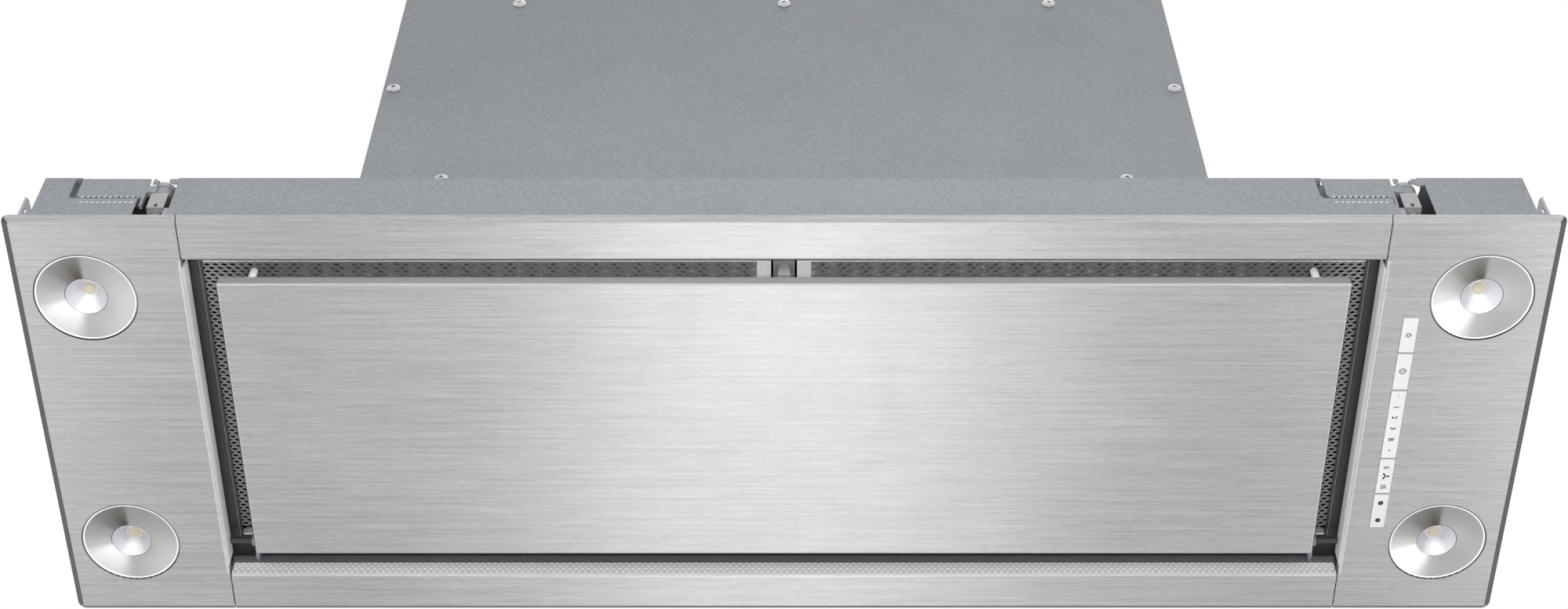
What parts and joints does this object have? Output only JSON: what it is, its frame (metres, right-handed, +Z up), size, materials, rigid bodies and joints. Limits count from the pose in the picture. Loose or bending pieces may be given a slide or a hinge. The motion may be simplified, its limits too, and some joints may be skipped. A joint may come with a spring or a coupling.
{
  "type": "range hood",
  "caption": "Built-in ceiling or cabinet range hood: flush stainless panel with spot lamps and keys, fold-down baffle for edge extraction, grease filters, boxed blower and duct collar.",
  "frame": {"origin": "centre of the visible panel's underside", "axes": "+Z up into the cabinet, +X to the right and -Y towards the person at the cooktop"},
  "size_m": [0.88, 0.293, 0.357],
  "materials": {
    "brushed_stainless": "brushed lengthways",
    "galvanised_sheet": "zinc-coated, fine speckle",
    "dark_coated_sheet": "dark coating, satin",
    "bright_steel": "bright stamped sheet",
    "filter_aluminium": "satin",
    "filter_mesh": "expanded metal",
    "latch_plastic": "matt",
    "stud_plastic": "matt",
    "reflector_aluminium": "spun, satin",
    "lamp_lens": "milky",
    "led_heat_sink": "cast",
    "key_white": "glossy",
    "dark_plastic": "matt",
    "circuit_board": "solder resist",
    "motor_housing": "black",
    "duct_plastic": "matt",
    "box_plastic": "matt"
  },
  "bodies": {
    "hood": {"side_panel_left": "brushed_stainless", "side_panel_right": "brushed_stainless", "front_strip": "brushed_stainless", "rear_strip": "brushed_stainless", "mounting_frame": "galvanised_sheet", "tray": "galvanised_sheet", "corner_brackets": "galvanised_sheet", "filter_carrier": "dark_coated_sheet", "centre_bracket": "bright_steel", "filter_frame_left": "filter_aluminium", "filter_frame_right": "filter_aluminium", "filter_mesh_left": "filter_mesh", "filter_mesh_right": "filter_mesh", "hinge_brackets": "bright_steel", "lamp_reflector_front_left": "reflector_aluminium", "lamp_reflector_front_right": "reflector_aluminium", "lamp_reflector_rear_left": "reflector_aluminium", "lamp_reflector_rear_right": "reflector_aluminium", "lamp_cone_front_left": "lamp_lens", "lamp_cone_front_right": "lamp_lens", "lamp_cone_rear_left": "lamp_lens", "lamp_cone_rear_right": "lamp_lens", "led_modules": "led_heat_sink", "control_housing": "dark_plastic", "control_board": "circuit_board", "fan_box": "galvanised_sheet", "fan_box_cover": "galvanised_sheet", "cover_screws": "bright_steel", "scroll_left": "dark_plastic", "scroll_right": "dark_plastic", "motor_bracket": "galvanised_sheet", "motor": "motor_housing", "duct_collar": "duct_plastic", "damper_pin": "bright_steel", "clamp_brackets": "bright_steel", "clamp_screws": "bright_steel", "control_box": "box_plastic", "control_box_lid": "box_plastic", "power_board": "circuit_board", "cable_gland": "duct_plastic"},
    "baffle": {"baffle_skin": "brushed_stainless", "baffle_liner": "galvanised_sheet", "baffle_studs": "stud_plastic", "hinge_pins": "bright_steel", "catch_clip": "bright_steel"},
    "fan_rotor": {"impeller": "dark_plastic", "impeller_shaft": "bright_steel"},
    "damper_front": {"damper_flap_front": "duct_plastic"},
    "damper_rear": {"damper_flap_rear": "duct_plastic"},
    "light_key": {"light_key": "key_white"},
    "power_key": {"power_key": "key_white"},
    "level_rocker": {"level_rocker": "key_white"},
    "timer_key": {"timer_key": "key_white"},
    "filter_key": {"filter_key": "key_white"},
    "latch_left": {"filter_latch_left": "latch_plastic"},
    "latch_right": {"filter_latch_right": "latch_plastic"},
    "clamp_front_left": {"clamp_arm_front_left": "bright_steel"},
    "clamp_front_right": {"clamp_arm_front_right": "bright_steel"},
    "clamp_rear_left": {"clamp_arm_rear_left": "bright_steel"},
    "clamp_rear_right": {"clamp_arm_rear_right": "bright_steel"}
  },
  "joints": [
    {"name": "baffle_hinge", "type": "hinge", "parent": "hood", "child": "baffle", "pos_m": [0, 0.1, 0.0125], "axis": [1, 0, 0], "range_deg": [0, 90]},
    {"name": "impeller_spin", "type": "hinge", "parent": "hood", "child": "fan_rotor", "pos_m": [0, -0.004, 0.168], "axis": [1, 0, 0], "continuous": true},
    {"name": "damper_front_flap", "type": "hinge", "parent": "hood", "child": "damper_front", "pos_m": [0, 0.034, 0.332], "axis": [-1, 0, 0], "range_deg": [0, 75]},
    {"name": "damper_rear_flap", "type": "hinge", "parent": "hood", "child": "damper_rear", "pos_m": [0, 0.034, 0.332], "axis": [1, 0, 0], "range_deg": [0, 75]},
    {"name": "light_key_press", "type": "slide", "parent": "hood", "child": "light_key", "axis": [0, 0, 1], "range_m": [0, 0.0007], "stiffness_N_per_m": 400},
    {"name": "power_key_press", "type": "slide", "parent": "hood", "child": "power_key", "axis": [0, 0, 1], "range_m": [0, 0.0007], "stiffness_N_per_m": 400},
    {"name": "timer_key_press", "type": "slide", "parent": "hood", "child": "timer_key", "axis": [0, 0, 1], "range_m": [0, 0.0007], "stiffness_N_per_m": 400},
    {"name": "filter_key_press", "type": "slide", "parent": "hood", "child": "filter_key", "axis": [0, 0, 1], "range_m": [0, 0.0007], "stiffness_N_per_m": 400},
    {"name": "level_rocker_tilt", "type": "hinge", "parent": "hood", "child": "level_rocker", "pos_m": [0.361, 0.0005, 0.006], "axis": [1, 0, 0], "range_deg": [-1.2, 1.2], "stiffness_Nm_per_rad": 0.5},
    {"name": "latch_left_slide", "type": "slide", "parent": "hood", "child": "latch_left", "axis": [-1, 0, 0], "range_m": [0, 0.004], "stiffness_N_per_m": 300},
    {"name": "latch_right_slide", "type": "slide", "parent": "hood", "child": "latch_right", "axis": [1, 0, 0], "range_m": [0, 0.004], "stiffness_N_per_m": 300},
    {"name": "clamp_front_left_swing", "type": "hinge", "parent": "hood", "child": "clamp_front_left", "pos_m": [-0.3604, -0.1268, 0.045], "axis": [0, 0, 1], "range_deg": [0, 90]},
    {"name": "clamp_front_right_swing", "type": "hinge", "parent": "hood", "child": "clamp_front_right", "pos_m": [0.3604, -0.1268, 0.045], "axis": [0, 0, 1], "range_deg": [0, 90]},
    {"name": "clamp_rear_left_swing", "type": "hinge", "parent": "hood", "child": "clamp_rear_left", "pos_m": [-0.3604, 0.1268, 0.045], "axis": [0, 0, 1], "range_deg": [0, 90]},
    {"name": "clamp_rear_right_swing", "type": "hinge", "parent": "hood", "child": "clamp_rear_right", "pos_m": [0.3604, 0.1268, 0.045], "axis": [0, 0, 1], "range_deg": [0, 90]}
  ]
}
